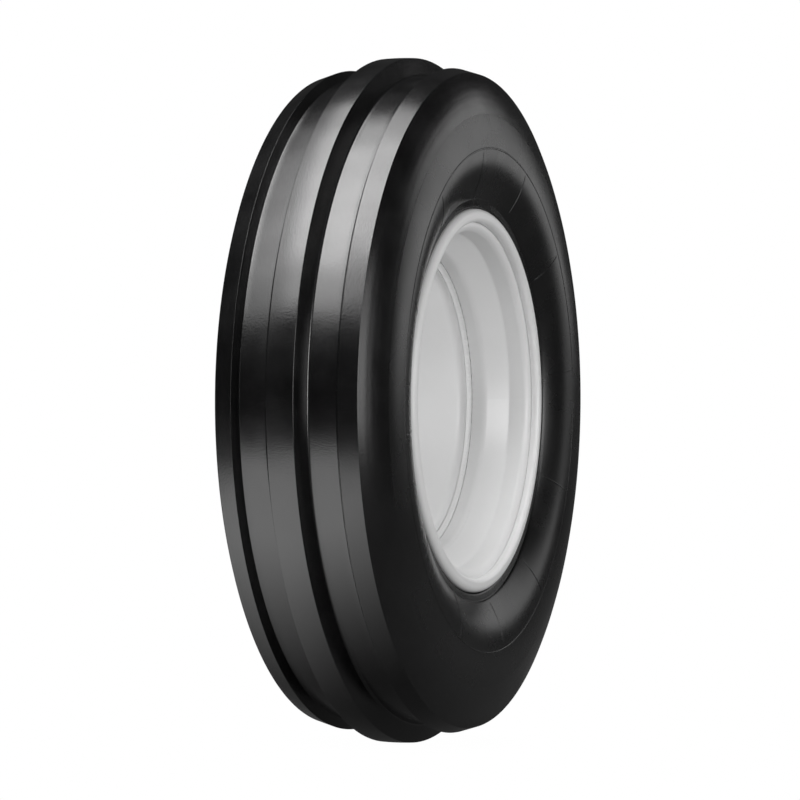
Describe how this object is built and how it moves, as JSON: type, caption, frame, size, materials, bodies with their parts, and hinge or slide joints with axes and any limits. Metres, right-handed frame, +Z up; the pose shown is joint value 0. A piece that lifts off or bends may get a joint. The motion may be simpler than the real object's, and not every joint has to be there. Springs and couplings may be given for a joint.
{
  "type": "implement tire on disc wheel",
  "caption": "Narrow ribbed implement tire mounted with its tube on a drop-centre steel disc wheel, with a rubber valve and a dished, stud-fixed centre.",
  "frame": {"origin": "centre of the wheel: on the wheel axis, in the tyre's centre plane", "axes": "+Y along the wheel axis towards the hub side, so the outboard face looks towards -Y; +Z up; the valve is on the side of -X"},
  "size_m": [0.8049, 0.2118, 0.805],
  "materials": {
    "tread_rubber": "satin moulded rubber",
    "side_rubber": "smooth moulded rubber",
    "ply_cord": "rubbered cord fabric",
    "bead_wire": "bundled steel wire",
    "hard_rubber": "hard rubber",
    "tube_rubber": "smooth rubber",
    "rim_paint": "satin pale grey paint",
    "valve_brass": "turned brass",
    "seal_rubber": "soft rubber",
    "spring_steel": "drawn spring wire",
    "cap_plastic": "moulded plastic"
  },
  "bodies": {
    "wheel": {"tread": "tread_rubber", "sidewall_outboard": "side_rubber", "sidewall_inboard": "side_rubber", "breaker": "ply_cord", "carcass_plies": "ply_cord", "chafer_outboard": "ply_cord", "chafer_inboard": "ply_cord", "bead_core_outboard": "bead_wire", "bead_core_inboard": "bead_wire", "bead_filler_outboard": "hard_rubber", "bead_filler_inboard": "hard_rubber", "inner_tube": "tube_rubber", "rim_barrel": "rim_paint", "wheel_disc": "rim_paint", "disc_weld": "rim_paint", "valve_stem": "tube_rubber", "valve_insert": "valve_brass", "valve_core_body": "valve_brass", "valve_core_seal": "seal_rubber", "valve_spring": "spring_steel"},
    "valve_pin": {"valve_pin": "valve_brass", "valve_pin_seal": "seal_rubber"},
    "valve_cap": {"valve_cap": "cap_plastic", "valve_cap_seal": "seal_rubber"}
  },
  "joints": [
    {"name": "valve_pin_press", "type": "slide", "parent": "wheel", "child": "valve_pin", "axis": [-1, 0, 0], "range_m": [0, 0.0015], "stiffness_N_per_m": 400, "springref_m": -0.005, "deforming": ["valve_spring"]},
    {"name": "valve_cap_unscrew", "type": "slide", "parent": "wheel", "child": "valve_cap", "axis": [1, 0, 0], "range_m": [0, 0.012]}
  ]
}
